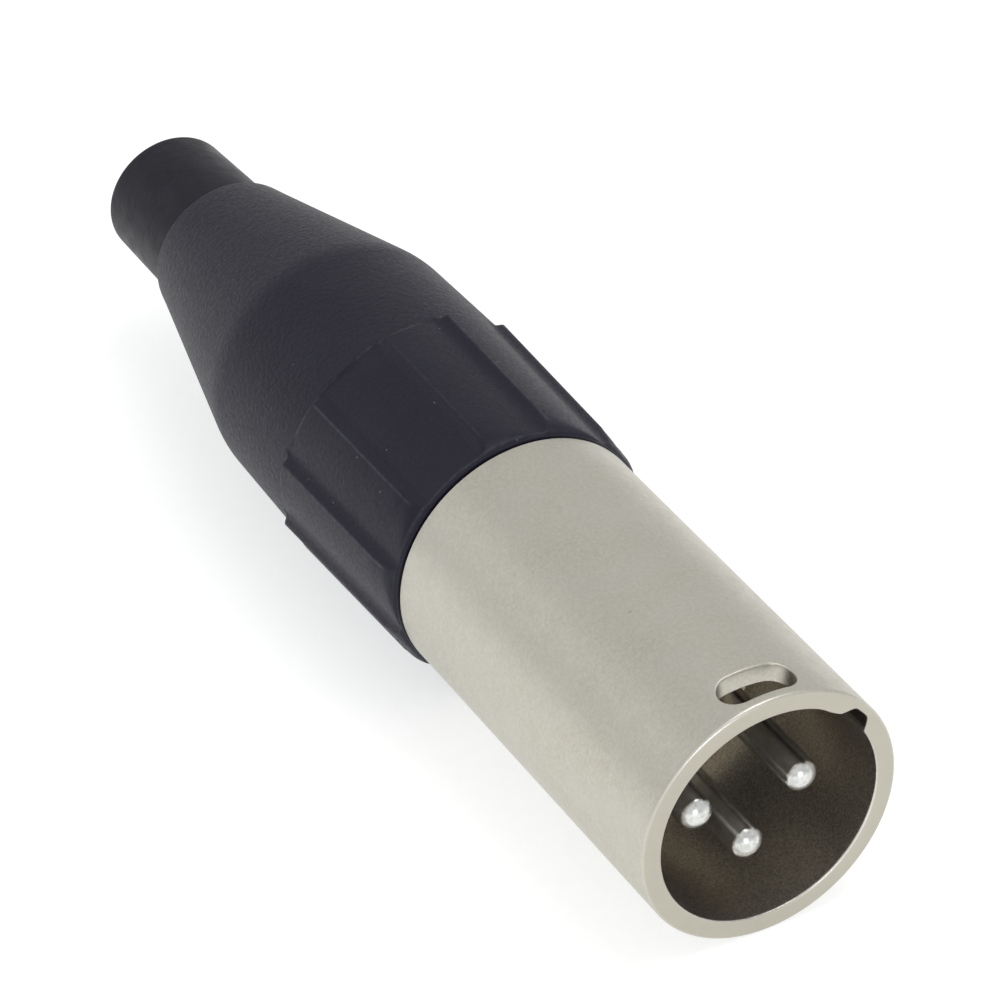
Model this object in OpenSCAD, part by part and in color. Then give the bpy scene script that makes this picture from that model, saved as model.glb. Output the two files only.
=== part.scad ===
// Three-contact circular audio plug for a cable, lying on its side.
// The plug's axis is +Y. The origin is the centre of the open rim, and +Z is the side of the latch window.
// Stations are distances behind the rim plane, and angles are taken from the top, towards +X.

/* [Shell] */
// Outer radius of the metal shell
shell_r = 9.5; // [9.3:0.1:11.5]
// Length of the shell, from the rim to the back nut
shell_len = 32; // [30:0.5:42]
// Thickness of the shell's wall round the open socket
socket_wall = 1.45; // [1.2:0.05:1.6]
// Depth of the socket, from the rim to the shoulder that stops the insert
socket_depth = 16.5; // [13:0.5:20]
// How far the bore behind the shoulder is wider than the socket, on the radius
shoulder_step = 0.4; // [0.3:0.05:0.6]
// How far the threaded end is wider than that bore, on the radius at the thread's middle
thread_step = 0.25; // [0.2:0.05:0.4]
// Length of the threaded end
thread_len = 7; // [5:0.5:10]
// Radius of the rounding on the rim's outer edge
rim_round = 0.35; // [0.1:0.05:0.5]

/* [Latch window and keyway] */
// Length of the window across the shell
window_len = 5.5; // [4:0.1:7]
// Width of the window along the shell
window_w = 2.65; // [2:0.05:3]
// Thickness of the rim bridge in front of the window
window_bridge = 0.85; // [0.6:0.05:2]
// Angle of the keyway from the top
keyway_angle = 49; // [30:1:60]
// Width of the keyway where it opens into the socket
keyway_mouth = 2.7; // [2:0.1:3.5]
// Width of the keyway at its bottom
keyway_bottom = 1.5; // [1:0.1:2]
// Depth of the keyway in the socket's wall
keyway_depth = 0.8; // [0.6:0.05:1]

/* [Contacts] */
// Radius of a contact
pin_r = 1.2; // [1:0.05:1.4]
// Radius of the circle that the contacts stand on
pin_circle_r = 3.96; // [3.6:0.02:4.4]
// How far the contacts' tips lie behind the rim
tip_setback = 1.9; // [1:0.05:4]
// Height of the low dome on a contact's tip
tip_dome = 0.7; // [0.3:0.05:1]
// How much thicker a contact is where the insert grips it, on the radius
pin_shank_step = 0.16; // [0.16:0.01:0.25]
// Radius of the collar that stops a contact in the insert
pin_collar_r = 1.7; // [1.6:0.05:1.8]
// Thickness of that collar
pin_collar_len = 1.5; // [1:0.1:2]
// Outer radius of the solder cup
cup_r = 1.4; // [1.2:0.05:1.5]
// Radius of the hole in the solder cup
cup_bore_r = 1; // [0.6:0.05:1.05]
// Depth of the hole in the solder cup
cup_depth = 4.5; // [3:0.5:5]
// How far the solder cups stand out behind the insert's body
cup_reach = 6; // [5:0.5:7]

/* [Insert] */
// How far the insert's nose stands in front of the shoulder
nose_len = 1; // [0.5:0.1:2]
// Thickness of the flange that seats on the shoulder
flange_len = 2.5; // [2:0.1:4]
// Gap between the insert's body, behind the flange, and the clamp's ring round it
body_gap = 0.6; // [0.3:0.05:0.7]
// Length of that body
body_len = 4.5; // [4:0.1:6]
// Depth of the front hole that a contact slides through, up to its collar
front_hole_len = 4.5; // [3.5:0.1:5]
// Gap between the partitions of the solder cups and the clamp's neck
partition_gap = 0.4; // [0.2:0.05:0.8]
// Length of the partitions
partition_len = 5; // [4:0.1:6]
// Thickness of the partitions
partition_t = 0.9; // [0.6:0.1:1.2]

/* [Ground spring] */
// Thickness of the spring's strip
spring_t = 0.3; // [0.2:0.05:0.4]
// Width of the strip
spring_w = 2; // [1.4:0.1:2.2]
// Gap between the strip's solder leg and the clamp's neck, on the middle line
spring_gap = 0.25; // [0.2:0.05:0.4]
// How far the solder leg stands out behind the insert's body
spring_reach = 4; // [3:0.5:5]
// Radius of the hole in the solder leg
spring_hole_r = 0.6; // [0.3:0.05:0.7]

/* [Cable clamp] */
// Wall of the ring that slides in the shell's bore
ring_wall = 1.1; // [0.8:0.1:1.2]
// Wall of the neck round the room for the wires
neck_wall = 1.1; // [0.8:0.1:1.2]
// How far behind the shell's end the clamp's neck ends and its cone begins
cone_lead = 1.5; // [0.5:0.5:4]
// Length of the jaws' cone
cone_len = 14; // [11:0.5:16]
// Wall of the jaws at their tips
jaw_tip_wall = 1.6; // [1.2:0.1:2]
// Radius of the jaws' hole for the cable
jaw_bore_r = 3.7; // [3:0.1:4]
// Width of the slots between the jaws
slot_w = 1.2; // [0.8:0.1:1.6]
// How far in front of the cone the slots begin
slot_lead = 3; // [1:0.5:4]
// Number of jaws
jaw_count = 4; // [3:1:6]
// Height of the jaws' teeth
tooth_h = 0.35; // [0.2:0.05:0.5]
// Spacing of the teeth
tooth_pitch = 1.8; // [1.4:0.1:2.4]
// Number of rings of teeth
tooth_count = 4; // [2:1:5]

/* [Back nut] */
// Wall of the nut's threaded end, from the thread's middle to its hole
spigot_wall = 1; // [0.9:0.05:1.1]
// Gap seen between the shell and the nut when it is tight
seam_gap = 0.15; // [0.05:0.05:0.3]
// How far the nut's front lip stands out past the shell, on the radius
lip_proud = 0.08; // [0.05:0.01:0.2]
// Length of the front lip, before its rounding
lip_len = 0.2; // [0.15:0.05:1.2]
// Length of the rounding from the lip up to the ridges
front_round_len = 2.2; // [1:0.1:3]
// How far the ridges stand out past the shell at the collar's rear, on the radius
ridge_proud = 1.03; // [0.9:0.01:1.5]
// Depth of the flutes below the ridges
flute_depth = 0.52; // [0.3:0.02:0.7]
// Length of the fluted collar
collar_len = 15.55; // [12:0.05:20]
// Draft of the fluted collar, in degrees, so that it narrows towards the shell
collar_draft = 1.4; // [0:0.1:2]
// Direction that the upper mould half was drawn off in, from the top
draw_angle = -32; // [-180:1:180]
// Half the angle between the two ridges nearest the draw direction
ridge_offset = 19; // [15:1:20]
// Angle from there to the next ridge
ridge_pitch = 29; // [28:1:31]
// Angle from that one to the ridge nearest the parting line
outer_pitch = 33; // [28:1:34]
// Angle taken up by the steep wall of a flute
wall_deg = 7; // [5:0.5:10]
// Angle taken up by the narrow land on a ridge
land_deg = 1; // [0.5:0.1:2]
// How far the smooth body behind the collar stands out past the shell, on the radius
barrel_proud = 0.63; // [0.5:0.01:0.8]
// Length of that body, up to the blend into the cone
barrel_len = 10.3; // [6:0.1:16]
// Slope of that body, as radius lost for each millimetre
barrel_slope = 0.026; // [0:0.001:0.04]
// Length of the blend between body and cone
blend_len = 2; // [1:0.1:8]
// Length of the straight cone
tail_cone_len = 15.8; // [8:0.1:18]
// Radius of the rounding at the nut's small end
tail_round = 0.7; // [0.3:0.05:0.75]
// Wall of the nut round the boot's anchor
anchor_wall = 2.7; // [1.5:0.1:3]
// Wall of the nut's small end, before its rounding
tail_wall = 0.75; // [0.75:0.05:1.4]

/* [Boot] */
// Radius of the boot where it leaves the nut
boot_r = 5.2; // [4.8:0.05:5.4]
// How far the boot stands out of the nut
boot_reach = 9.4; // [6:0.2:16]
// How much thinner the boot is at its free end, on the radius
boot_taper = 0.35; // [0:0.05:0.6]
// Radius of the boot's hole for the cable
boot_bore_r = 3.8; // [3:0.1:4.2]
// Radius of the rounding on the free end
boot_round = 0.6; // [0.2:0.1:0.8]
// Distance from the jaws' tips to the boot's front face
boot_setback = 5; // [4:0.5:8]
// Length of the boot's anchor inside the nut, without its taper
anchor_len = 7; // [4:0.5:9]

/* [Fits] */
// Radial gap of what slides or turns in the shell
running_gap = 0.05; // [0.02:0.01:0.1]
// Gap between pieces that are held still
seat_gap = 0.04; // [0.02:0.01:0.1]
// Gap between the jaws' cone and the nut's cone
cone_gap = 0.15; // [0.1:0.05:0.3]
// Gap between a key and its keyway, and round the spring in its slots
key_gap = 0.12; // [0.08:0.02:0.2]

/* [Hidden] */
$fn = 96;
eps = 0.5;

socket_r = shell_r - socket_wall;
bore_r = socket_r + shoulder_step;
thread_r = bore_r + thread_step;
keyway_r = socket_r + keyway_depth;
ring_r = bore_r - running_gap;
ring_bore_r = ring_r - ring_wall;
spigot_r = thread_r - running_gap;
spigot_bore_r = spigot_r - spigot_wall;
neck_r = spigot_bore_r - cone_gap;
chamber_r = neck_r - neck_wall;
body_r = ring_bore_r - body_gap;
partition_r = chamber_r - partition_gap;
spring_leg_x = chamber_r - spring_gap - spring_t;
jaw_tip_r = jaw_bore_r + jaw_tip_wall;
lip_r = shell_r + lip_proud;
ridge_r = shell_r + ridge_proud;
barrel_r = shell_r + barrel_proud;
boot_hole_r = boot_r + seat_gap;
nut_end_r = boot_hole_r + tail_wall;
boot_end_r = boot_r - boot_taper;
pin_shank_r = pin_r + pin_shank_step;
pin_angles = [-90, 90, 180];
partition_angles = [0, 135, 225];
spring_angle = pin_angles[0] / 2;
ridge_angles = [ridge_offset, ridge_offset + ridge_pitch, ridge_offset + ridge_pitch + outer_pitch];

flange_end = socket_depth + flange_len;
body_end = flange_end + body_len;
nose_start = socket_depth - nose_len;
collar_stop = nose_start + front_hole_len;
cup_end = body_end + cup_reach;
nut_start = shell_len - thread_len;
ring_start = flange_end + 2 * running_gap;
ring_end = nut_start - 2 * running_gap;
cone_start = shell_len + cone_lead;
jaw_end = cone_start + cone_len;
lip_start = shell_len + seam_gap;
collar_end = lip_start + collar_len;
barrel_end = collar_end + barrel_len;
barrel_end_r = barrel_r - barrel_slope * barrel_len;
blend_end = barrel_end + blend_len;
cone_slope = (barrel_end_r - nut_end_r - barrel_slope * blend_len / 2) / (tail_cone_len + blend_len / 2);
nut_end = blend_end + tail_cone_len + tail_round;
boot_start = jaw_end + boot_setback;
boot_end = nut_end + boot_reach;
anchor_r = barrel_end_r - anchor_wall;
anchor_end = boot_start + anchor_len;
tail_hole_start = nut_end - 3;

function arc(centre, r, from, to, n = 6) =
    [for (i = [0:n]) centre + r * [cos(from + (to - from) * i / n), sin(from + (to - from) * i / n)]];

function polar(r, angle) = r * [cos(angle), sin(angle)];

// Lays what is drawn along +Z down along +Y
module lay() rotate([-90, 0, 0]) children();

// Turns what is drawn towards +X, before it is laid down, to an angle from the top
module at(angle) rotate([0, 0, angle - 90]) children();

// Outline of the keyway, or of a key that is smaller all round by the gap
module key_outline(gap, inner_r) {
    outer_r = keyway_r - gap;
    polygon([[inner_r, -keyway_mouth / 2 + gap], [socket_r, -keyway_mouth / 2 + gap],
             [outer_r, -keyway_bottom / 2 + gap], [outer_r, keyway_bottom / 2 - gap],
             [socket_r, keyway_mouth / 2 - gap], [inner_r, keyway_mouth / 2 - gap]]);
}

// Long round-ended hole through the top of the shell, for the socket's latch
module window() {
    end_offset = (window_len - window_w) / 2;
    at(0) translate([socket_r - 1, 0, window_bridge + window_w / 2]) {
        for (side = [-1, 1])
            translate([0, side * end_offset, 0]) rotate([0, 90, 0]) cylinder(r = window_w / 2, h = 3);
        translate([0, -end_offset, -window_w / 2]) cube([3, 2 * end_offset, window_w]);
    }
}

module shell() {
    lead_in = 0.3;
    relief = 1;
    color([0.71, 0.69, 0.65]) lay() difference() {
        rotate_extrude() polygon(concat(
            [[socket_r + 0.1, 0]],
            arc([shell_r - rim_round, rim_round], rim_round, -90, 0),
            [[shell_r, shell_len], [thread_r + lead_in, shell_len], [thread_r, shell_len - lead_in],
             [thread_r, nut_start - relief], [bore_r, nut_start - relief - thread_step], [bore_r, socket_depth],
             [socket_r, socket_depth], [socket_r, 0.1]]));
        window();
        translate([0, 0, -eps]) linear_extrude(shell_len + 2 * eps) at(keyway_angle)
            key_outline(0, socket_r - 1);
    }
}

// Slot and seat in the insert that take the ground spring
module spring_slot() {
    at(spring_angle) translate([spring_leg_x - key_gap, -spring_w / 2 - key_gap, flange_end])
        cube([body_r, spring_w + 2 * key_gap, body_len + eps]);
}

module contact_insert() {
    color([0.13, 0.13, 0.14]) lay() difference() {
        union() {
            rotate_extrude() polygon([[0, nose_start], [socket_r - seat_gap, nose_start],
                [socket_r - seat_gap, socket_depth], [bore_r - seat_gap, socket_depth],
                [bore_r - seat_gap, flange_end], [body_r, flange_end], [body_r, body_end], [0, body_end]]);
            translate([0, 0, socket_depth]) linear_extrude(flange_len) at(keyway_angle)
                key_outline(key_gap, socket_r - 1);
            for (angle = partition_angles)
                at(angle) translate([0, -partition_t / 2, body_end - 1])
                    cube([partition_r, partition_t, partition_len + 1]);
        }
        for (angle = pin_angles) at(angle) translate([pin_circle_r, 0, 0]) {
            translate([0, 0, nose_start - eps]) cylinder(r = pin_shank_r + seat_gap, h = body_len + front_hole_len + eps);
            translate([0, 0, collar_stop]) cylinder(r = pin_collar_r + seat_gap, h = cup_end);
        }
        spring_slot();
    }
}

// Turned contact: domed tip, stop collar and an open solder cup at the back
module pin(angle) {
    collar_end_z = collar_stop + pin_collar_len;
    cup_start = cup_end - cup_depth;
    dome_r = (pin_r * pin_r + tip_dome * tip_dome) / (2 * tip_dome);
    dome_edge = asin(pin_r / dome_r);
    color([0.86, 0.86, 0.84]) lay() at(angle) translate([pin_circle_r, 0, 0]) difference() {
        rotate_extrude() polygon(concat(
            arc([0, tip_setback + dome_r], dome_r, -90, -90 + dome_edge, 12),
            [[pin_r, nose_start - 0.1], [pin_shank_r, nose_start - 0.1], [pin_shank_r, collar_stop],
             [pin_collar_r, collar_stop], [pin_collar_r, collar_end_z],
             [cup_r, collar_end_z], [cup_r, cup_end], [cup_bore_r, cup_end], [cup_bore_r, cup_start],
             [0, cup_start - 0.4]]));
        rotate([0, 0, angle == 90 ? 180 : 0]) translate([-0.3, -2 * cup_r, cup_start + 0.8])
            cube([4 * cup_r, 4 * cup_r, cup_depth]);
    }
}

module pin_1() pin(pin_angles[0]);
module pin_2() pin(pin_angles[1]);
module pin_3() pin(pin_angles[2]);

// Bent strip: one end reaches out to the shell over the flange, the other is a solder leg
module ground_spring() {
    leg_end = body_end + spring_reach;
    color([0.80, 0.72, 0.45]) lay() at(spring_angle) difference() {
        union() {
            intersection() {
                translate([spring_leg_x, -spring_w / 2, flange_end]) cube([bore_r, spring_w, spring_t]);
                cylinder(r = bore_r - seat_gap, h = shell_len);
            }
            translate([spring_leg_x, -spring_w / 2, flange_end]) cube([spring_t, spring_w, leg_end - flange_end]);
        }
        translate([spring_leg_x - eps, 0, leg_end - spring_w / 2]) rotate([0, 90, 0])
            cylinder(r = spring_hole_r, h = spring_t + 2 * eps);
    }
}

// Jaws' inner outline, one tooth at a time from the rear
function tooth(i) = let (z = jaw_end - 1 - i * tooth_pitch)
    [[jaw_bore_r, z], [jaw_bore_r - tooth_h, z - 0.3], [jaw_bore_r, z - 1]];

module cable_clamp() {
    chamber_start = body_end + 0.3;
    throat_start = cone_start - 1.5;
    throat_end = throat_start + (chamber_r - jaw_bore_r) * 1.4;
    teeth = [for (i = [0:tooth_count - 1]) each tooth(i)];
    color([0.16, 0.16, 0.17]) lay() difference() {
        union() {
            rotate_extrude() polygon(concat(
                [[ring_bore_r, ring_start], [ring_r, ring_start], [ring_r, ring_end], [neck_r, ring_end],
                 [neck_r, cone_start], [jaw_tip_r, jaw_end], [jaw_bore_r, jaw_end]],
                teeth,
                [[jaw_bore_r, throat_end], [chamber_r, throat_start], [chamber_r, chamber_start],
                 [ring_bore_r, chamber_start]]));
            translate([0, 0, ring_start]) linear_extrude(ring_end - ring_start) at(keyway_angle)
                key_outline(key_gap, ring_bore_r + 0.3);
        }
        for (i = [0:jaw_count - 1])
            at(i * 360 / jaw_count + 45) translate([0, -slot_w / 2, cone_start - slot_lead])
                cube([2 * neck_r, slot_w, cone_len + slot_lead + eps]);
        at(spring_angle) translate([chamber_r, -spring_w / 2 - key_gap, ring_start - eps])
            cube([bore_r, spring_w + 2 * key_gap, spring_t + 2 * key_gap + eps]);
    }
}

// Outside of one flute: a long ramp down from the inner ridge, then a steep wall up to the outer one.
// Each row is an angle and a share of the flute's depth.
function flute_points(rows) =
    concat([for (p = rows) polar(ridge_r - flute_depth * p[1], p[0])],
           [polar(ridge_r + 4, rows[len(rows) - 1][0]), polar(ridge_r + 4, rows[0][0])]);

function side_rows(pitch) = let (a = land_deg / 2, b = pitch - land_deg / 2)
    [[a, -0.02], [b - wall_deg, 0.92], [b - wall_deg * 0.75, 1], [b - wall_deg * 0.4, 0.72], [b, -0.02]];

function middle_rows() = let (b = ridge_offset - land_deg / 2)
    [[-b, -0.02], [-b + wall_deg * 0.4, 0.72], [-b + wall_deg * 0.75, 1], [0, 0.9],
     [b - wall_deg * 0.75, 1], [b - wall_deg * 0.4, 0.72], [b, -0.02]];

function parting_rows() = let (b = 90 - ridge_angles[2] - land_deg / 2)
    [[-b, -0.02], [0, 0.62], [b, -0.02]];

// Cutter for a flute, tilted so that the collar keeps its draft
module flute_cutter(rows, middle) {
    rotate([0, 0, middle]) translate([barrel_r, 0, collar_end]) rotate([0, collar_draft, 0])
        translate([-barrel_r, 0, -collar_len - 2]) rotate([0, 0, -middle])
            linear_extrude(collar_len + 2) polygon(flute_points(rows));
}

module flutes() {
    for (half = [0, 180]) at(draw_angle + half) {
        flute_cutter(middle_rows(), 0);
        for (side = [0, 1], i = [0, 1]) let (pitch = ridge_angles[i + 1] - ridge_angles[i])
            mirror([0, side, 0]) rotate([0, 0, ridge_angles[i]]) flute_cutter(side_rows(pitch), pitch / 2);
        rotate([0, 0, 90]) flute_cutter(parting_rows(), 0);
    }
}

module back_nut() {
    chamfer = 0.3;
    lip_end = lip_start + lip_len;
    front_ridge_r = ridge_r - tan(collar_draft) * (collar_len - lip_len - front_round_len);
    blend_steps = 6;
    cone_bore_r = jaw_tip_r + cone_gap;
    cone_bore_start = cone_start + spigot_bore_r - neck_r - cone_gap;
    color([0.20, 0.20, 0.23]) lay() difference() {
        rotate_extrude() polygon(concat(
            [[spigot_bore_r, nut_start], [spigot_r - chamfer, nut_start], [spigot_r, nut_start + chamfer],
             [spigot_r, lip_start], [lip_r - 0.1, lip_start], [lip_r, lip_start + 0.1],
             [lip_r, lip_end]],
            [for (i = [1:8]) let (t = 90 * i / 8)
                [lip_r + (front_ridge_r - lip_r) * sin(t), lip_end + front_round_len * (1 - cos(t))]],
            arc([ridge_r - 0.3, collar_end - 0.3], 0.3, 0, 80),
            [[barrel_r, collar_end], [barrel_end_r, barrel_end]],
            [for (i = [1:blend_steps]) let (t = i / blend_steps)
                [barrel_end_r - blend_len * (barrel_slope * t + (cone_slope - barrel_slope) * t * t / 2),
                 barrel_end + blend_len * t]],
            arc([nut_end_r - tail_round, nut_end - tail_round], tail_round, 12, 90),
            [[boot_hole_r, nut_end], [boot_hole_r, tail_hole_start], [anchor_r, anchor_end],
             [anchor_r, boot_start + 1], [anchor_r - 1, boot_start], [cone_bore_r, boot_start],
             [cone_bore_r, jaw_end], [spigot_bore_r, cone_bore_start]]));
        flutes();
    }
}

module boot() {
    color([0.17, 0.17, 0.18]) lay() rotate_extrude() polygon(concat(
        [[boot_bore_r, boot_start + seat_gap], [anchor_r - 1 - seat_gap / 2, boot_start + seat_gap],
         [anchor_r - seat_gap, boot_start + 1 + seat_gap / 2], [anchor_r - seat_gap, anchor_end - seat_gap / 2],
         [boot_r, tail_hole_start - seat_gap / 2], [boot_r, nut_end + 0.5]],
        arc([boot_end_r - boot_round, boot_end - boot_round], boot_round, 0, 90),
        [[boot_bore_r + 0.3, boot_end], [boot_bore_r, boot_end - 0.3]]));
}

shell();
contact_insert();
pin_1();
pin_2();
pin_3();
ground_spring();
cable_clamp();
back_nut();
boot();
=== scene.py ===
import math

import bmesh
import bpy
import numpy as np
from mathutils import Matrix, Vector


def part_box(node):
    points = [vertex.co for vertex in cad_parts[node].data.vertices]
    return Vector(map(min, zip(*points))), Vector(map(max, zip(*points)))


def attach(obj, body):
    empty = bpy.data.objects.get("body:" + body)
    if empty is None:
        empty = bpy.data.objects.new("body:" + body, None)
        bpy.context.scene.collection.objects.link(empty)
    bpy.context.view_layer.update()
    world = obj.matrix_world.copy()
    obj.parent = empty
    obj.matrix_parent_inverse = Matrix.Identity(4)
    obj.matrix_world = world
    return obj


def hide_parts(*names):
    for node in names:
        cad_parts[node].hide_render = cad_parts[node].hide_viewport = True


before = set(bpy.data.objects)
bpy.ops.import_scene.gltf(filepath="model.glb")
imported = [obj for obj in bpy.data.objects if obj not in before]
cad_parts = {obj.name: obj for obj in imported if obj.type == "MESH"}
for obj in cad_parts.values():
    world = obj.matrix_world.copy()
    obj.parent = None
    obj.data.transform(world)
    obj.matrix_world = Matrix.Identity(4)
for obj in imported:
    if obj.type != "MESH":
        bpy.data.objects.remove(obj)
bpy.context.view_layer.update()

# Camera: it stands in front, to the left and above, and looks along the plug past its open rim.
# A long lens keeps the plug's sides almost parallel. Azimuth and elevation are in degrees.
camera_azimuth, camera_elevation = -29.443, 35.577
camera_distance = 341.52e-3
camera_aim = Vector((0, 35.02e-3, 2.99e-3))
a, e = math.radians(camera_azimuth), math.radians(camera_elevation)
to_camera = Vector((math.sin(a) * math.cos(e), -math.cos(a) * math.cos(e), math.sin(e)))
camera = bpy.data.objects.new("camera", bpy.data.cameras.new("camera"))
camera.data.sensor_width = 36
camera.data.lens = 180
camera.data.clip_start, camera.data.clip_end = 0.01, 10
camera.location = camera_aim + camera_distance * to_camera
camera.rotation_mode = "QUATERNION"
camera.rotation_quaternion = (-to_camera).to_track_quat("-Z", "Y")
bpy.context.scene.collection.objects.link(camera)
bpy.context.scene.camera = camera

# Floor: white card that the plug lies on. The plug touches it with the rim of its shell and with
# the two lowest ridges of the back nut, which stand out further, so the card leans a little.
ridge_station = 47.4e-3
card_half = 1.5
shell_low, nut_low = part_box("shell")[0].z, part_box("back_nut")[0].z
card_slope = (nut_low - shell_low) / ridge_station
card = bmesh.new()
corners = [(-card_half, -card_half), (card_half, -card_half), (card_half, card_half), (-card_half, card_half)]
card.faces.new([card.verts.new((x, y, shell_low + card_slope * y)) for x, y in corners])
floor = bpy.data.objects.new("floor", bpy.data.meshes.new("floor"))
card.to_mesh(floor.data)
card.free()
bpy.context.scene.collection.objects.link(floor)


def finish(name):
    """A new material: itself, its node tree and its main shader."""
    made = bpy.data.materials.new(name)
    made.use_nodes = True
    return made, made.node_tree, made.node_tree.nodes["Principled BSDF"]


def add(tree, kind, **sockets):
    """A node, with each named input set to a value or joined to another node's output."""
    node = tree.nodes.new("ShaderNode" + kind)
    for name, value in sockets.items():
        socket = node.inputs[name.replace("_", " ")]
        if isinstance(value, bpy.types.NodeSocket):
            tree.links.new(value, socket)
        else:
            socket.default_value = value
    return node


def speckle(tree, size_mm, detail=2.0, roughness=0.5):
    """Noise with lumps of about that size, fixed to the piece."""
    place = add(tree, "TexCoord").outputs["Object"]
    return add(tree, "TexNoise", Vector=place, Scale=1000 / size_mm, Detail=detail, Roughness=roughness).outputs["Fac"]


def between(tree, factor, low, high, dark, light):
    """Colour that runs from dark to light while the factor runs from low to high."""
    share = add(tree, "MapRange", Value=factor, From_Min=low, From_Max=high).outputs["Result"]
    mix = tree.nodes.new("ShaderNodeMix")
    mix.data_type = "RGBA"
    tree.links.new(share, mix.inputs["Factor"])
    for socket, colour in (("A", dark), ("B", light)):
        target = [i for i in mix.inputs if i.name == socket and i.type == "RGBA"][0]
        if isinstance(colour, bpy.types.NodeSocket):
            tree.links.new(colour, target)
        else:
            target.default_value = (*colour, 1)
    return [o for o in mix.outputs if o.type == "RGBA"][0]


def level(tree, factor, low, high, from_value, to_value):
    """Value that runs between two limits while the factor runs from low to high."""
    return add(tree, "MapRange", Value=factor, From_Min=low, From_Max=high,
               To_Min=from_value, To_Max=to_value).outputs["Result"]


card_finish, tree, shader = finish("white_card")
tree.links.new(between(tree, speckle(tree, 0.8, 4), 0.3, 0.7, (0.53, 0.51, 0.50), (0.56, 0.54, 0.53)),
               shader.inputs["Base Color"])
shader.inputs["Roughness"].default_value = 0.9
shader.inputs["Specular IOR Level"].default_value = 0.1
shader.inputs["Emission Color"].default_value = (0.968, 1.0, 1.004, 1)
shader.inputs["Emission Strength"].default_value = 0.655
floor.data.materials.append(card_finish)

# Light: a big soft box overhead, a weak one behind to the left, one low in front that shines into the
# socket, and an even pale room. The white card throws light up under the plug.
room_grey = (0.75, 0.75, 0.75)
soft_boxes = {
    "overhead": ((0.12, -0.04, 0.60), 0.30, 0.7),
    "left_back": ((-0.50, 0.64, 0.36), 0.35, 0.13),
    "front": ((-0.10, -0.97, 0.22), 0.34, 0.9),
}
world = bpy.data.worlds.new("room")
world.use_nodes = True
world.node_tree.nodes["Background"].inputs["Color"].default_value = (*room_grey, 1)
world.node_tree.nodes["Background"].inputs["Strength"].default_value = 1.0
bpy.context.scene.world = world
for name, (place, size, watts) in soft_boxes.items():
    lamp = bpy.data.lights.new(name, "AREA")
    lamp.shape = "SQUARE"
    lamp.size = size
    lamp.energy = watts
    box = bpy.data.objects.new(name, lamp)
    box.location = place
    box.rotation_mode = "QUATERNION"
    box.rotation_quaternion = (camera_aim - Vector(place)).to_track_quat("-Z", "Y")
    bpy.context.scene.collection.objects.link(box)
bpy.context.scene.view_settings.view_transform = "Standard"

# Shell: one zinc die casting, plated with satin nickel. The latch window and the keyway are cast in,
# their edges are slightly rounded by tumbling before the plating, and the thread is cut in the rear end.
shell_r, shell_len, rim_round = 9.5, 32.0, 0.35
socket_r, bore_r, socket_depth = 8.05, 8.45, 16.5
inner_rim_round, shell_edge_round = 0.16, 0.14
ledge_r, ledge_front, ledge_back = 5.35, 15.2, 15.44
window_len, window_w, window_front = 5.5, 2.65, 0.85
keyway_angle, keyway_r, keyway_mouth, keyway_bottom = 49.0, 8.85, 2.7, 1.5
keyway_swell, swell_angle, swell_width = 0.10, 33.0, 5.0
thread_pitch, thread_start, thread_root, thread_crest = 1.25, 24.2, 8.90, 8.52


def ring(radius, angles, station):
    """Points round the plug's axis, in metres. Angles run from the top towards +X."""
    turn = np.radians(angles)
    radius, station = np.broadcast_to(radius, turn.shape), np.broadcast_to(station, turn.shape)
    return np.stack([radius * np.sin(turn), station, radius * np.cos(turn)], 1) * 1e-3


def corner(centre, radius, start, end, steps):
    """Arc in a profile: pairs of radius and station."""
    turns = np.radians(np.linspace(start, end, steps + 1))
    return [(centre[0] + radius * math.cos(t), centre[1] + radius * math.sin(t)) for t in turns]


class Skin:
    """Collects points and faces for one piece."""

    def __init__(self):
        self.points, self.faces = [], []

    def row(self, points):
        first = len(self.points)
        self.points.extend(map(tuple, points))
        return list(range(first, len(self.points)))

    def join(self, a, b, closed=True, skip=()):
        """Faces between two rows. The finer row may have a whole number of points for each of the other's."""
        if len(a) < len(b):
            a, b = b, a
        share, last = len(a) // len(b), len(b) if closed else len(b) - 1
        for j in range(last):
            if j in skip:
                continue
            k = (j + 1) % len(b)
            fine = [a[(share * j + i) % len(a)] for i in range(share + 1)]
            self.faces.append([b[j], *fine, b[k]])

    def piece(self, name, crease=32, **paint):
        """The finished object, with its normals outwards and its edges creased above that angle.

        Each further argument is a named value for every point, which a material can read."""
        mesh = bmesh.new()
        layers = {mesh.verts.layers.float.new(key): values for key, values in paint.items()}
        corners = [mesh.verts.new(p) for p in self.points]
        for layer, values in layers.items():
            for corner_point, value in zip(corners, values):
                corner_point[layer] = value
        for face in self.faces:
            mesh.faces.new([corners[i] for i in face])
        bmesh.ops.delete(mesh, geom=[v for v in mesh.verts if not v.link_faces], context="VERTS")
        bmesh.ops.recalc_face_normals(mesh, faces=mesh.faces)
        made = bpy.data.objects.new(name, bpy.data.meshes.new(name))
        mesh.to_mesh(made.data)
        mesh.free()
        made.data.shade_smooth()
        made.data.set_sharp_from_angle(angle=math.radians(crease))
        bpy.context.scene.collection.objects.link(made)
        return made


def full_corner(centre, radius, steps):
    """Rounded corner that is fuller than an arc, from the side round to the front."""
    turns = np.radians(np.linspace(0, 90, steps + 1))
    return [(centre[0] + radius * math.cos(t) ** 0.7, centre[1] - radius * math.sin(t) ** 0.7) for t in turns]


def smooth(x):
    x = np.clip(x, 0, 1)
    return x * x * (3 - 2 * x)


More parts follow.
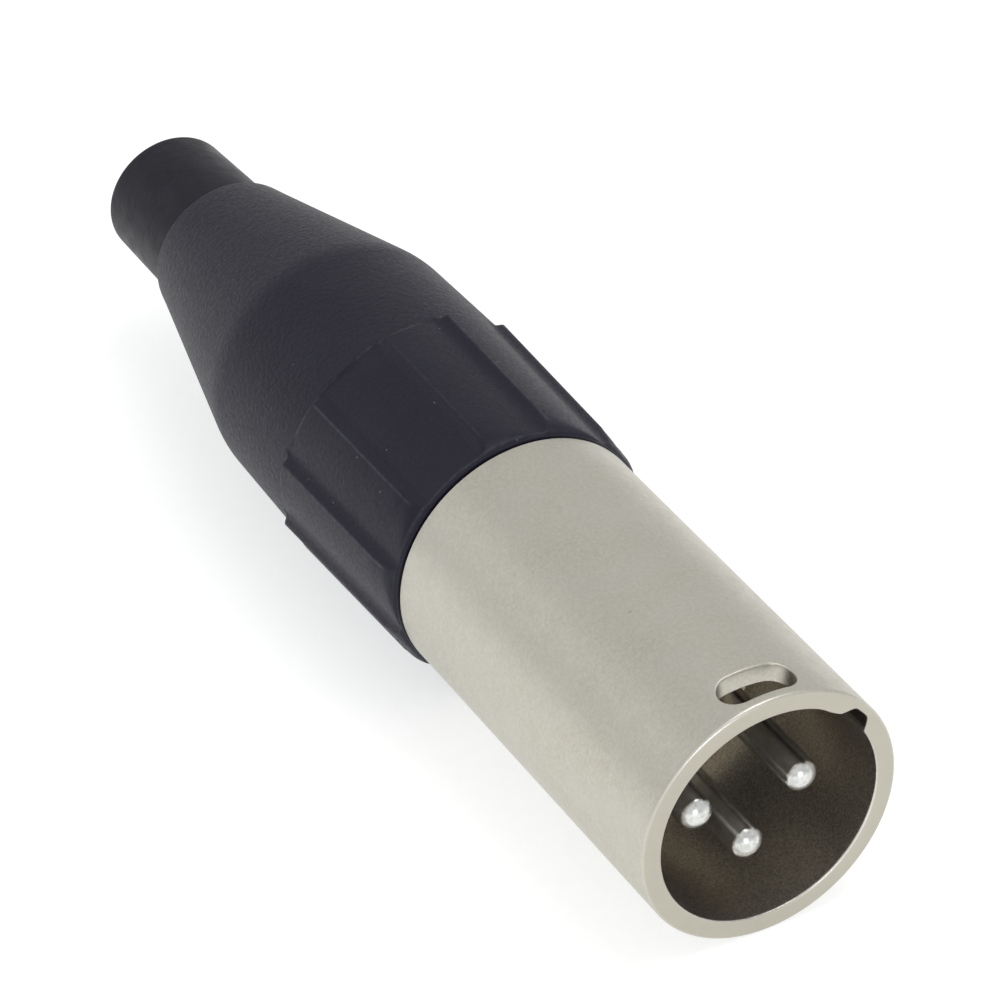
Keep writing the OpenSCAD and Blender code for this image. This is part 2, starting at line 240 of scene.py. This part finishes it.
def thread(angles, station, start, end, low, high):
    """Radius of a screw thread that fades in at one end and out at the other."""
    turn = np.mod(station / thread_pitch - np.asarray(angles) / 360, 1)
    flank = np.clip(1.35 - 3.4 * np.abs(turn - 0.5), 0, 1)
    fade = smooth((station - start) / 0.5) * smooth((end - station) / 0.5)
    return low + (high - low) * (0.5 + (flank - 0.5) * fade)


def keyway(angles):
    """Depth of the keyway outside the socket's wall, with the small swelling beside it."""
    offset = np.degrees(np.arcsin([keyway_bottom / 2 / keyway_r, keyway_mouth / 2 / socket_r]))
    depth = np.interp(np.abs(angles - keyway_angle), offset, [keyway_r - socket_r, 0])
    swell = keyway_swell * np.exp(-(((angles - swell_angle) / swell_width) ** 2))
    return depth, np.where(angles < keyway_angle - offset[1], swell, 0)


coarse = np.arange(-180, 180, 1.0)
near_key = np.arange(keyway_angle - 12, keyway_angle + 12, 0.25)
shell_angles = np.concatenate([coarse[coarse < near_key[0] - 0.1], near_key, coarse[coarse > near_key[-1] + 0.1]])
key_depth, key_swell = keyway(shell_angles)
soft_edge = np.exp(-(np.arange(-10, 11) / 6.0) ** 2)
key_depth = np.convolve(np.pad(key_depth, 10, "wrap"), soft_edge / soft_edge.sum(), "valid")

outer_stations = np.concatenate([np.arange(rim_round, 6.0, 0.45), np.arange(6.6, shell_len - 0.2, 1.2), [shell_len - 0.12]])
inner_stations = np.concatenate([np.arange(inner_rim_round, 6.0, 0.45), np.arange(6.6, ledge_front - 0.1, 1.2)])
shell_rows = []
for r, s in [(shell_r - 0.12, shell_len), *[(shell_r, s) for s in outer_stations[::-1]],
             *full_corner((shell_r - rim_round, rim_round), rim_round, 12)[1:]]:
    shell_rows.append((np.full(len(shell_angles), r), s))
for turn in np.radians(np.linspace(0, 90, 6)):
    edge = inner_rim_round * (1 - math.sin(turn))
    shell_rows.append((socket_r + edge + key_depth - key_swell, inner_rim_round * (1 - math.cos(turn))))
inner_from = len(shell_rows)
for s in inner_stations[1:]:
    shell_rows.append((socket_r + key_depth - key_swell * smooth((4 - s) / 3), s))
wall = socket_r + key_depth
shell_rows += [(wall, ledge_front - 0.02), (wall - 0.04, ledge_front)]
for r, s in [(ledge_r + 0.08, ledge_front), (ledge_r, ledge_front + 0.08), (ledge_r, ledge_back - 0.04), (ledge_r + 0.04, ledge_back)]:
    shell_rows.append((np.full(len(shell_angles), r), s))
shell_rows += [(wall - 0.02, ledge_back), (wall, ledge_back + 0.02), (wall, socket_depth)]
bore_depth = np.maximum(bore_r, wall)
shell_rows += [(bore_depth, socket_depth + 0.01), (bore_depth, 20.0), (bore_depth, thread_start - 0.3)]
for s in np.arange(thread_start, shell_len - 0.3, 0.09):
    cut = thread(shell_angles, s, thread_start, shell_len - 0.2, thread_crest, thread_root)
    shell_rows.append((np.maximum(cut, wall), s))
shell_rows.append((np.full(len(shell_angles), thread_root + 0.15), shell_len))

shell_skin = Skin()
rows = [shell_skin.row(ring(r, shell_angles, s)) for r, s in shell_rows]
window_mid = window_front + window_w / 2
window_reach = (window_len - window_w) / 2
patch_angle = 27.0
columns = [j for j, angle in enumerate(shell_angles) if abs(angle) <= patch_angle]
outline = []
for turn in np.radians(np.arange(0, 360, 0.5)):
    side = math.copysign(window_reach, math.cos(turn))
    outline.append((side + window_w / 2 * math.cos(turn), window_w / 2 * math.sin(turn)))
outline = np.array(outline)
outline_turn = np.unwrap(np.arctan2(outline[:, 1], outline[:, 0]))


def window_point(x, s):
    """Nearest direction on the window's outline: its core point and the way out of it."""
    turn = math.atan2(s - window_mid, x) % (2 * math.pi)
    px, ps = (np.interp(turn, outline_turn % (2 * math.pi), outline[:, k], period=2 * math.pi) for k in (0, 1))
    core = (min(max(px, -window_reach), window_reach), 0)
    out = np.array([px - core[0], ps])
    return np.array(core) + (0, window_mid), out / np.linalg.norm(out)


def window_patch(first, last):
    """Rows and columns round the window, as one loop of points."""
    front, rear = rows[first], rows[last]
    loop = [front[j] for j in columns]
    loop += [rows[i][columns[-1]] for i in range(first + 1, last)]
    loop += [rear[j] for j in reversed(columns)]
    loop += [rows[i][columns[0]] for i in range(last - 1, first, -1)]
    return loop


def rows_between(low, high, start, end):
    found = [i for i in range(start, end) if low <= shell_rows[i][1] <= high]
    by_station = sorted(found, key=lambda i: shell_rows[i][1])
    return by_station[0], by_station[-1]


outer_front, outer_rear = rows_between(0.34, 5.0, 0, inner_from - 6)
inner_front, inner_rear = rows_between(0.40, 5.2, inner_from, inner_from + len(inner_stations) - 1)
holes = {}
for i in range(min(outer_front, outer_rear), max(outer_front, outer_rear)):
    holes[i] = set(columns[:-1])
for i in range(inner_front, inner_rear):
    holes[i] = set(columns[:-1])
for i in range(len(rows)):
    shell_skin.join(rows[i], rows[(i + 1) % len(rows)], skip=holes.get(i, ()))


def loop_round_window(rect, radius, sign, layers=4):
    """Faces from a patch's edge in to the window's rounded edge. Gives the loop at the edge."""
    loop = window_patch(*rect) if rect[0] < rect[1] else window_patch_outer(*rect)
    flat = [(shell_skin.points[i][0] * 1e3, shell_skin.points[i][1] * 1e3) for i in loop]
    aims = [window_point(x, s) for x, s in flat]
    before = loop
    for k in range(1, layers + 1):
        t = k / layers
        points = []
        for (x, s), (core, out) in zip(flat, aims):
            edge = core + out * (window_w / 2 + shell_edge_round)
            px, ps = (1 - t) * x + t * edge[0], (1 - t) * s + t * edge[1]
            points.append((px * 1e-3, ps * 1e-3, math.sqrt(radius ** 2 - px ** 2) * 1e-3))
        now = shell_skin.row(points)
        shell_skin.join(before, now)
        before = now
    for turn in np.radians(np.linspace(0, 90, 5))[1:]:
        points = []
        for core, out in aims:
            p = core + out * (window_w / 2 + shell_edge_round * (1 - math.sin(turn)))
            depth = shell_edge_round * (1 - math.cos(turn))
            points.append((p[0] * 1e-3, p[1] * 1e-3, (math.sqrt(radius ** 2 - p[0] ** 2) - sign * depth) * 1e-3))
        now = shell_skin.row(points)
        shell_skin.join(before, now)
        before = now
    return before


def window_patch_outer(first, last):
    """The same loop on the outside, where the rows run from the rear to the front."""
    loop = [rows[first][j] for j in columns]
    loop += [rows[i][columns[-1]] for i in range(first - 1, last, -1)]
    loop += [rows[last][j] for j in reversed(columns)]
    loop += [rows[i][columns[0]] for i in range(last + 1, first)]
    return loop


outer_loop = loop_round_window((outer_front, outer_rear), shell_r, 1)
inner_loop = loop_round_window((inner_front, inner_rear), socket_r, -1)
shell_skin.join(outer_loop, inner_loop)

# The rim's corners get a painted highlight: a lighter, smoother band on the outer corner near the top towards -X and
# on the inner corner low down towards +X. The keyway is painted dark, as shade.
rubbed, hollow = np.zeros((2, len(shell_skin.points)))
outer_side = 0.15 + 0.85 * np.exp(-(((shell_angles + 28) / 26) ** 2))
inner_side = 0.10 + 0.90 * np.exp(-(((shell_angles - 125) / 32) ** 2))
for k in range(12):
    rubbed[rows[inner_from - 18 + k]] = outer_side * math.exp(-(((k - 5) / 2.5) ** 2))
for k in range(6):
    rubbed[rows[inner_from - 6 + k]] = inner_side * math.exp(-(((k - 2.5) / 1.5) ** 2))
# Painted shade: the keyway's recess is marked to be painted almost black.
for row in rows[inner_from - 3:]:
    hollow[row] = np.clip(key_depth / 0.3, 0, 1)
shell = shell_skin.piece("plated_shell", rubbed=rubbed, hollow=hollow)

nickel, tree, shader = finish("satin_nickel")
place = add(tree, "SeparateXYZ", Vector=add(tree, "TexCoord").outputs["Object"])
x, y, z = place.outputs
squares = [add(tree, "Math", Value=axis) for axis in (x, z)]
for square, axis in zip(squares, (x, z)):
    square.operation = "MULTIPLY"
    tree.links.new(axis, square.inputs[0])
    tree.links.new(axis, square.inputs[1])
radius_squared = add(tree, "Math")
radius_squared.operation = "ADD"
tree.links.new(squares[0].outputs[0], radius_squared.inputs[0])
tree.links.new(squares[1].outputs[0], radius_squared.inputs[1])
outside = level(tree, radius_squared.outputs[0], (8.12e-3) ** 2, (8.3e-3) ** 2, 0, 1)
plate = between(tree, speckle(tree, 5, 3), 0.3, 0.7, (0.485, 0.462, 0.385), (0.53, 0.515, 0.455))
plate = between(tree, speckle(tree, 0.25, 3, 0.7), 0.32, 0.68, plate, (0.58, 0.565, 0.50))
pits = add(tree, "TexVoronoi", Vector=add(tree, "TexCoord").outputs["Object"], Scale=300.0)
pitted = level(tree, pits.outputs["Distance"], 0.02, 0.05, 1, 0)
plate = between(tree, pitted, 0, 1, plate, (0.42, 0.40, 0.33))
wall_tone = between(tree, speckle(tree, 0.15, 2, 0.8), 0.35, 0.65, (0.40, 0.37, 0.345), (0.74, 0.69, 0.64))
wall_tone = between(tree, y, 14.9e-3, 15.15e-3, wall_tone, (0.62, 0.595, 0.475))
plate = between(tree, outside, 0, 1, wall_tone, plate)
# Painted shade: the rim's front face is painted a little darker than the rest of the plating.
plate = between(tree, y, 0.01e-3, 0.06e-3, (0.50, 0.48, 0.41), plate)

def painted(tree, name):
    """The value that was given to each point of the mesh under that name."""
    node = add(tree, "Attribute")
    node.attribute_name = name
    return node.outputs["Fac"]


rim_highlight = painted(tree, "rubbed")
# Painted shade: the keyway is painted almost black.
plate = between(tree, painted(tree, "hollow"), 0, 1, plate, (0.10, 0.09, 0.085))
# Painted highlight: where the mask is set, the rim's corners are painted lighter and are smoother.
tree.links.new(between(tree, rim_highlight, 0, 1, plate, (0.80, 0.78, 0.73)), shader.inputs["Base Color"])
shader.inputs["Metallic"].default_value = 1.0


def blended(tree, factor, low, high):
    """A value that runs from one node's output to another's as the factor goes from 0 to 1."""
    blend = add(tree, "MapRange", Value=factor)
    for socket, value in (("To Min", low), ("To Max", high)):
        if isinstance(value, bpy.types.NodeSocket):
            tree.links.new(value, blend.inputs[socket])
        else:
            blend.inputs[socket].default_value = value
    return blend.outputs["Result"]


plate_sheen = level(tree, speckle(tree, 0.9, 4), 0.3, 0.7, 0.36, 0.46)
sheen = blended(tree, rim_highlight, blended(tree, outside, 0.31, plate_sheen), 0.2)
tree.links.new(sheen, shader.inputs["Roughness"])
plate_grain = add(tree, "Bump", Distance=0.016e-3, Strength=level(tree, outside, 0, 1, 0.8, 0.55),
                  Height=speckle(tree, 0.2, 4, 0.65))
tree.links.new(plate_grain.outputs["Normal"], shader.inputs["Normal"])
shell.data.materials.append(nickel)
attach(shell, "plug")
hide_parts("shell")

# Contacts: three turned brass pins, silver plated. Each is pressed into the insert from behind up to
# its collar, and ends in an open cup that the wire is soldered into.
pin_r, pin_circle, tip_station, tip_dome, insert_face = 1.2, 3.96, 1.9, 0.7, 15.5
shank_r, collar_r, collar_from, collar_to = 1.36, 1.7, 20.0, 21.5
cup_r, cup_bore, cup_from, cup_end = 1.4, 1.0, 25.0, 29.5
pin_places = {"pin_1": (-90, 0), "pin_2": (90, 180), "pin_3": (180, 90)}

silver, tree, shader = finish("silver_plate")
along = add(tree, "SeparateXYZ", Vector=add(tree, "TexCoord").outputs["Object"]).outputs["Y"]
# Painted shade: the domed tips are painted a darker silver than the shafts.
tip_tone = between(tree, speckle(tree, 0.3, 4), 0.38, 0.62, (0.60, 0.61, 0.59), (0.76, 0.77, 0.75))
shaft_tone = between(tree, speckle(tree, 0.5, 3), 0.35, 0.65, (0.76, 0.75, 0.71), (0.88, 0.87, 0.84))
tree.links.new(between(tree, along, (tip_station + tip_dome) * 1e-3, (tip_station + tip_dome + 0.2) * 1e-3, tip_tone, shaft_tone),
               shader.inputs["Base Color"])
shader.inputs["Metallic"].default_value = 1.0
tree.links.new(level(tree, along, (tip_station + tip_dome) * 1e-3, (tip_station + tip_dome + 0.3) * 1e-3, 0.24, 0.27),
               shader.inputs["Roughness"])
turning = add(tree, "Bump", Strength=0.2, Distance=0.003e-3, Height=speckle(tree, 0.25, 3))
tree.links.new(turning.outputs["Normal"], shader.inputs["Normal"])

dome_r = (pin_r ** 2 + tip_dome ** 2) / (2 * tip_dome)
dome_edge = math.asin((pin_r - 0.08) / dome_r)
pin_profile = [(dome_r * math.sin(t), tip_station + dome_r * (1 - math.cos(t))) for t in np.linspace(0.05, dome_edge, 12)]
pin_profile += [(pin_r, tip_station + tip_dome + 0.06), (pin_r, insert_face - 0.15), (shank_r, insert_face), (shank_r, collar_from), (collar_r, collar_from),
                (collar_r, collar_to), (cup_r, collar_to), (cup_r, cup_from + 0.8), (cup_r, cup_end - 0.1),
                (cup_r - 0.1, cup_end), (cup_bore + 0.08, cup_end), (cup_bore, cup_end - 0.08), (cup_bore, cup_from)]
for name, (pin_angle, open_side) in pin_places.items():
    skin = Skin()
    around = np.arange(0, 360, 3.0)
    pin_rows = [skin.row(ring(r, around, s)) for r, s in pin_profile]
    for row_a, row_b in zip(pin_rows, pin_rows[1:]):
        skin.join(row_a, row_b)
    tip, well = skin.row([(0, tip_station * 1e-3, 0)])[0], skin.row([(0, (cup_from - 0.4) * 1e-3, 0)])[0]
    for row_end, point in ((pin_rows[0], tip), (pin_rows[-1], well)):
        for j in range(len(row_end)):
            skin.faces.append([row_end[j], row_end[(j + 1) % len(row_end)], point])
    contact = skin.piece("contact_" + name[-1])
    opening = bmesh.new()
    bmesh.ops.create_cube(opening, size=1)
    bmesh.ops.scale(opening, vec=(3e-3, 5e-3, 4e-3), verts=opening.verts)
    bmesh.ops.translate(opening, vec=(0, (cup_from + 0.8 + 2.5) * 1e-3, 1.7e-3 - 0.5e-3), verts=opening.verts)
    cutter = bpy.data.objects.new("cutter", bpy.data.meshes.new("cutter"))
    opening.to_mesh(cutter.data)
    opening.free()
    cutter.rotation_euler = (0, math.radians(open_side), 0)
    bpy.context.scene.collection.objects.link(cutter)
    cut = contact.modifiers.new("cup", "BOOLEAN")
    cut.operation, cut.object, cut.solver = "DIFFERENCE", cutter, "EXACT"
    bpy.context.view_layer.objects.active = contact
    bpy.context.view_layer.update()
    bpy.ops.object.modifier_apply(modifier=cut.name)
    bpy.data.objects.remove(cutter)
    turn = math.radians(pin_angle)
    for v in contact.data.vertices:
        v.co.x += pin_circle * 1e-3 * math.sin(turn)
        v.co.z += pin_circle * 1e-3 * math.cos(turn)
    contact.data.set_sharp_from_angle(angle=math.radians(32))
    contact.data.materials.clear()
    contact.data.materials.append(silver)
    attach(contact, "plug")
    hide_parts(name)


def coat(node, made):
    """Gives a piece from model.glb, whose mesh stays as it is, its own finish."""
    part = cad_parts[node]
    part.data.materials.clear()
    part.data.materials.append(made)


# Insert: black glass-filled moulding that holds the contacts. It goes in from the rear, its flange seats
# on the shell's shoulder and its key stands in the keyway.
insert_black, tree, shader = finish("insert_moulding")
tree.links.new(between(tree, speckle(tree, 0.35, 4), 0.3, 0.7, (0.030, 0.026, 0.024), (0.045, 0.040, 0.036)),
               shader.inputs["Base Color"])
tree.links.new(level(tree, speckle(tree, 0.2, 3), 0.3, 0.7, 0.45, 0.6), shader.inputs["Roughness"])
insert_grain = add(tree, "Bump", Strength=0.3, Distance=0.01e-3, Height=speckle(tree, 0.15, 3))
tree.links.new(insert_grain.outputs["Normal"], shader.inputs["Normal"])
coat("contact_insert", insert_black)

# Ground spring: strip of tinned bronze, bent once, that touches the shell over the insert's flange and
# carries a solder leg.
tinned, tree, shader = finish("tinned_bronze")
tree.links.new(between(tree, speckle(tree, 0.4, 4), 0.35, 0.65, (0.55, 0.46, 0.28), (0.72, 0.68, 0.58)),
               shader.inputs["Base Color"])
shader.inputs["Metallic"].default_value = 1.0
tree.links.new(level(tree, speckle(tree, 0.2, 3), 0.3, 0.7, 0.25, 0.4), shader.inputs["Roughness"])
rolling = add(tree, "Bump", Strength=0.2, Distance=0.005e-3, Height=speckle(tree, 0.1, 3))
tree.links.new(rolling.outputs["Normal"], shader.inputs["Normal"])
coat("ground_spring", tinned)

# Cable clamp: black nylon chuck. Its ring slides in the shell's bore behind the insert, and the nut's
# cone presses its four toothed jaws on the cable.
clamp_black, tree, shader = finish("clamp_nylon")
tree.links.new(between(tree, speckle(tree, 0.5, 4), 0.3, 0.7, (0.016, 0.016, 0.017), (0.028, 0.028, 0.030)),
               shader.inputs["Base Color"])
tree.links.new(level(tree, speckle(tree, 0.3, 3), 0.3, 0.7, 0.5, 0.65), shader.inputs["Roughness"])
clamp_grain = add(tree, "Bump", Strength=0.3, Distance=0.012e-3, Height=speckle(tree, 0.2, 3))
tree.links.new(clamp_grain.outputs["Normal"], shader.inputs["Normal"])
coat("cable_clamp", clamp_black)

# Back nut: black moulding that screws into the shell. Its fluted collar was drawn off in two halves, so
# the ridges lie in mirrored pairs on both sides of the draw direction. The cone has a fine spark-eroded grain.
nut_start, nut_thread_root, nut_thread_crest = 25.0, 8.47, 8.86
spigot_bore, lip_r, lip_start, lip_end = 7.65, 9.58, 32.15, 32.35
ridge_r, collar_end, collar_draft, flute_depth = 10.53, 47.7, 1.4, 0.52
front_round, rear_round, groove_run_out = 2.2, 0.3, 0.3
rear_start, rear_lean = 47.05, 2.15
draw_angle, ridge_angles, wall_width, land = -32.0, (19.0, 48.0, 81.0), 7.0, 0.5
barrel_r, barrel_slope, barrel_end, cone_from, cone_to, tail_r, tail_round = 10.13, 0.026, 58.0, 60.0, 75.8, 5.99, 0.7
jaw_cone_from, jaw_cone_to, jaw_bore = 33.55, 47.5, 5.45
boot_seat, anchor_r, anchor_end, tail_hole_from, tail_hole_r = 52.5, 7.162, 59.5, 73.5, 5.24
nut_end = cone_to + tail_round
barrel_end_r = barrel_r - barrel_slope * (barrel_end - collar_end)
blend = cone_from - barrel_end
cone_slope = (barrel_end_r - tail_r - barrel_slope * blend / 2) / (cone_to - cone_from + blend / 2)

outer_angles = np.arange(-180, 180, 0.5)
from_draw = np.abs((outer_angles - draw_angle + 180) % 360 - 180)
from_draw = np.minimum(from_draw, 180 - from_draw)
flute_stops, flute_shares = [0, ridge_angles[0] - 0.75 * wall_width], [0.9, 1.0]
for i, ridge in enumerate(ridge_angles):
    if i:
        flute_stops += [ridge - land - wall_width, ridge - land - 0.75 * wall_width]
        flute_shares += [0.92, 1.0]
    flute_stops += [ridge - land - 0.4 * wall_width, ridge - land, ridge + land]
    flute_shares += [0.72, 0.0, 0.0]
flutes = np.interp(from_draw, flute_stops + [90], flute_shares + [0.62])
flutes = np.convolve(np.pad(flutes, 2, "wrap"), [0.1, 0.25, 0.3, 0.25, 0.1], "valid")
grooves = smooth((flutes - 0.85) / 0.15) * (from_draw > 5)
rear_ends = rear_start + rear_lean * (1 - np.cos(np.radians(from_draw))) + groove_run_out * grooves


def barrel(station):
    """Radius of the smooth body behind the collar, down to the end of its cone."""
    t = np.clip((station - barrel_end) / blend, 0, 1)
    straight = barrel_r - barrel_slope * (min(station, barrel_end) - collar_end)
    bent = blend * (barrel_slope * t + (cone_slope - barrel_slope) * t * t / 2)
    return straight - bent - cone_slope * max(station - cone_from, 0)


def collar(station):
    """Radius of the fluted collar, rounded in at the front and down to the body at the rear."""
    ridges = ridge_r - math.tan(math.radians(collar_draft)) * (collar_end - station)
    top = ridges - flute_depth * flutes
    if station < lip_end + front_round:
        rise = (ridges - lip_r) * math.sqrt(max(1 - ((lip_end + front_round - station) / front_round) ** 2, 0))
        front, soft = lip_r + rise, 0.10
        top = (top + front - np.sqrt((top - front) ** 2 + soft ** 2)) / 2
        top = np.maximum(top, lip_r - 0.03)
    fall = smooth((station - (rear_ends - rear_round)) / (rear_round + 0.06))
    return top + (barrel(station) - top) * fall


nut_skin = Skin()
nose_turns = np.radians(np.linspace(8, 90, 16))
collar_stations = np.concatenate([lip_end + front_round * (1 - np.cos(nose_turns)), np.arange(35.4, rear_start - 0.4, 1.2),
                                  np.linspace(rear_start - 0.35, rear_start + rear_lean + 0.3, 31)])
body_stations = np.concatenate([np.arange(50.1, barrel_end - 0.3, 1.2), np.linspace(barrel_end, cone_from, 9),
                                np.arange(cone_from + 0.6, cone_to - 0.3, 1.4)])
outer_rows = [nut_skin.row(ring(lip_r - 0.12, outer_angles, lip_start)),
              nut_skin.row(ring(lip_r - 0.03, outer_angles, lip_start + 0.03)),
              nut_skin.row(ring(lip_r, outer_angles, lip_start + 0.12)),
              nut_skin.row(ring(lip_r, outer_angles, lip_end - 0.05))]
outer_rows += [nut_skin.row(ring(collar(s), outer_angles, s)) for s in collar_stations]
outer_rows += [nut_skin.row(ring(barrel(s), outer_angles, s)) for s in body_stations]
outer_rows += [nut_skin.row(ring(r, outer_angles, s))
               for r, s in corner((tail_r - tail_round, cone_to), tail_round, math.degrees(math.atan(cone_slope)), 90, 10)]
for row_a, row_b in zip(outer_rows, outer_rows[1:]):
    nut_skin.join(row_a, row_b)

inner_angles = outer_angles[::3]
inner_profile = [(tail_hole_r + 0.03, nut_end), (tail_hole_r, nut_end - 0.03), (tail_hole_r, tail_hole_from),
                 (anchor_r, anchor_end), (anchor_r, boot_seat + 1), (anchor_r - 1, boot_seat), (jaw_bore, boot_seat),
                 (jaw_bore, jaw_cone_to), (spigot_bore, jaw_cone_from), (spigot_bore, nut_start + 0.15),
                 (spigot_bore + 0.15, nut_start), (nut_thread_root - 0.05, nut_start)]
inner_rows = [nut_skin.row(ring(r, inner_angles, s)) for r, s in inner_profile]
for s in np.arange(nut_start + 0.12, lip_start - 0.1, 0.11):
    male = thread(inner_angles, s, nut_start + 0.1, lip_start - 0.4, nut_thread_root, nut_thread_crest)
    lead = smooth((s - nut_start) / 0.8)
    inner_rows.append(nut_skin.row(ring(nut_thread_root + (male - nut_thread_root) * lead, inner_angles, s)))
inner_rows.append(nut_skin.row(ring((nut_thread_root + nut_thread_crest) / 2, inner_angles, lip_start)))
for row_a, row_b in zip(inner_rows, inner_rows[1:]):
    nut_skin.join(row_a, row_b)
nut_skin.join(outer_rows[-1], inner_rows[0])
nut_skin.join(outer_rows[0], inner_rows[-1])
rubbed = np.zeros(len(nut_skin.points))
ridge_wear = {-81: 0.5, -48: 1.6, -19: 1.0, 19: 0.4, 48: 1.5, 81: 0.5}
for row, s in zip(outer_rows[4:], collar_stations):
    crest = np.max([wear * (1 - np.abs(outer_angles - draw_angle - ridge) / 0.7) for ridge, wear in ridge_wear.items()], 0)
    crest = np.clip(crest, 0, 1) * smooth((s - lip_end - 0.8) / 0.6) * smooth((rear_ends - 0.3 - s) / 0.3)
    rear_edge = np.clip(1 - np.abs(s - rear_ends + 0.1) / 0.14, 0, 1) * grooves
    # Painted highlight: a lighter band along the collar's front edge, strongest towards the draw direction.
    front_edge = 0.7 * smooth(1 - abs(s - lip_end - 0.12) / 0.16) * np.cos(np.radians(from_draw)) ** 2
    rubbed[row] = np.maximum(np.maximum(crest, 0.6 * rear_edge), front_edge)
back_nut = nut_skin.piece("fluted_back_nut", crease=40, rubbed=rubbed)

nut_black, tree, shader = finish("nut_moulding")
place = add(tree, "SeparateXYZ", Vector=add(tree, "TexCoord").outputs["Object"])
on_body = level(tree, place.outputs["Y"], (collar_end - 0.5) * 1e-3, (collar_end + 0.6) * 1e-3, 0.4, 1.0)
nut_tone = between(tree, speckle(tree, 4, 3), 0.3, 0.7, (0.004, 0.003, 0.014), (0.007, 0.006, 0.018))
# The crests and rear edges are lightened by wear, and the front edge by a painted highlight, in noisy patches.
patchy = add(tree, "Math", Value=painted(tree, "rubbed"))
patchy.operation = "MULTIPLY"
tree.links.new(level(tree, speckle(tree, 0.5, 4), 0.35, 0.6, 0.35, 1.0), patchy.inputs[1])
nut_tone = between(tree, patchy.outputs[0], 0, 1, nut_tone, (0.045, 0.045, 0.058))
dust = add(tree, "TexVoronoi", Vector=add(tree, "TexCoord").outputs["Object"], Scale=480.0)
flecks = level(tree, dust.outputs["Distance"], 0.0, 0.045, 1, 0)
tree.links.new(between(tree, flecks, 0, 1, nut_tone, (0.16, 0.16, 0.17)), shader.inputs["Base Color"])
tree.links.new(level(tree, speckle(tree, 0.25, 3), 0.3, 0.7, 0.42, 0.56), shader.inputs["Roughness"])
shader.inputs["Specular IOR Level"].default_value = 0.3
spark_grain = add(tree, "Bump", Distance=0.06e-3, Strength=on_body, Height=speckle(tree, 0.4, 3, 0.6))
tree.links.new(spark_grain.outputs["Normal"], shader.inputs["Normal"])
back_nut.data.materials.append(nut_black)
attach(back_nut, "nut")
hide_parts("back_nut")

# Boot: soft black moulding, with a wide root that the nut holds and a short tail that the cable comes
# out of. Its skin is smoother than the nut's.
boot_r, boot_end, boot_end_r, boot_bore, boot_round = 5.2, 85.9, 4.98, 3.8, 0.45
boot_play = 0.04
boot_droop, droop_from = (-0.15, -0.04), 76.5
boot_profile = [(boot_bore, boot_seat + boot_play), (anchor_r - 1 - boot_play / 2, boot_seat + boot_play),
                (anchor_r - boot_play, boot_seat + 1 + boot_play / 2), (anchor_r - boot_play, anchor_end - boot_play / 2),
                (boot_r, tail_hole_from - boot_play / 2), (boot_r, nut_end + 0.5)]
for t in np.linspace(0.15, 0.95, 8):
    s = nut_end + 0.5 + t * (boot_end - boot_round - nut_end - 0.5)
    boot_profile.append((boot_r + (boot_end_r - boot_r) * t, s))
boot_profile += corner((boot_end_r - boot_round, boot_end - boot_round), boot_round, 0, 90, 8)
boot_profile += corner((boot_bore + 0.3, boot_end - 0.3), 0.3, 90, 180, 5)
boot_skin = Skin()
boot_angles = np.arange(0, 360, 2.5)
boot_rows = []
for r, s in boot_profile:
    sag = max(s - droop_from, 0) / 6.5
    boot_rows.append(boot_skin.row(ring(r, boot_angles, s) + np.array([boot_droop[0] * sag, 0, boot_droop[1] * sag]) * 1e-3))
for i in range(len(boot_rows)):
    boot_skin.join(boot_rows[i], boot_rows[(i + 1) % len(boot_rows)])
boot = boot_skin.piece("cable_boot")

boot_black, tree, shader = finish("boot_rubber")
tree.links.new(between(tree, speckle(tree, 2.5, 3), 0.3, 0.7, (0.004, 0.003, 0.010), (0.008, 0.007, 0.015)),
               shader.inputs["Base Color"])
tree.links.new(level(tree, speckle(tree, 1.2, 4), 0.3, 0.7, 0.40, 0.52), shader.inputs["Roughness"])
shader.inputs["Specular IOR Level"].default_value = 0.25
skin_grain = add(tree, "Bump", Strength=0.7, Distance=0.035e-3, Height=speckle(tree, 0.45, 3, 0.6))
tree.links.new(skin_grain.outputs["Normal"], shader.inputs["Normal"])
boot.data.materials.append(boot_black)
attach(boot, "nut")
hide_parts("boot")
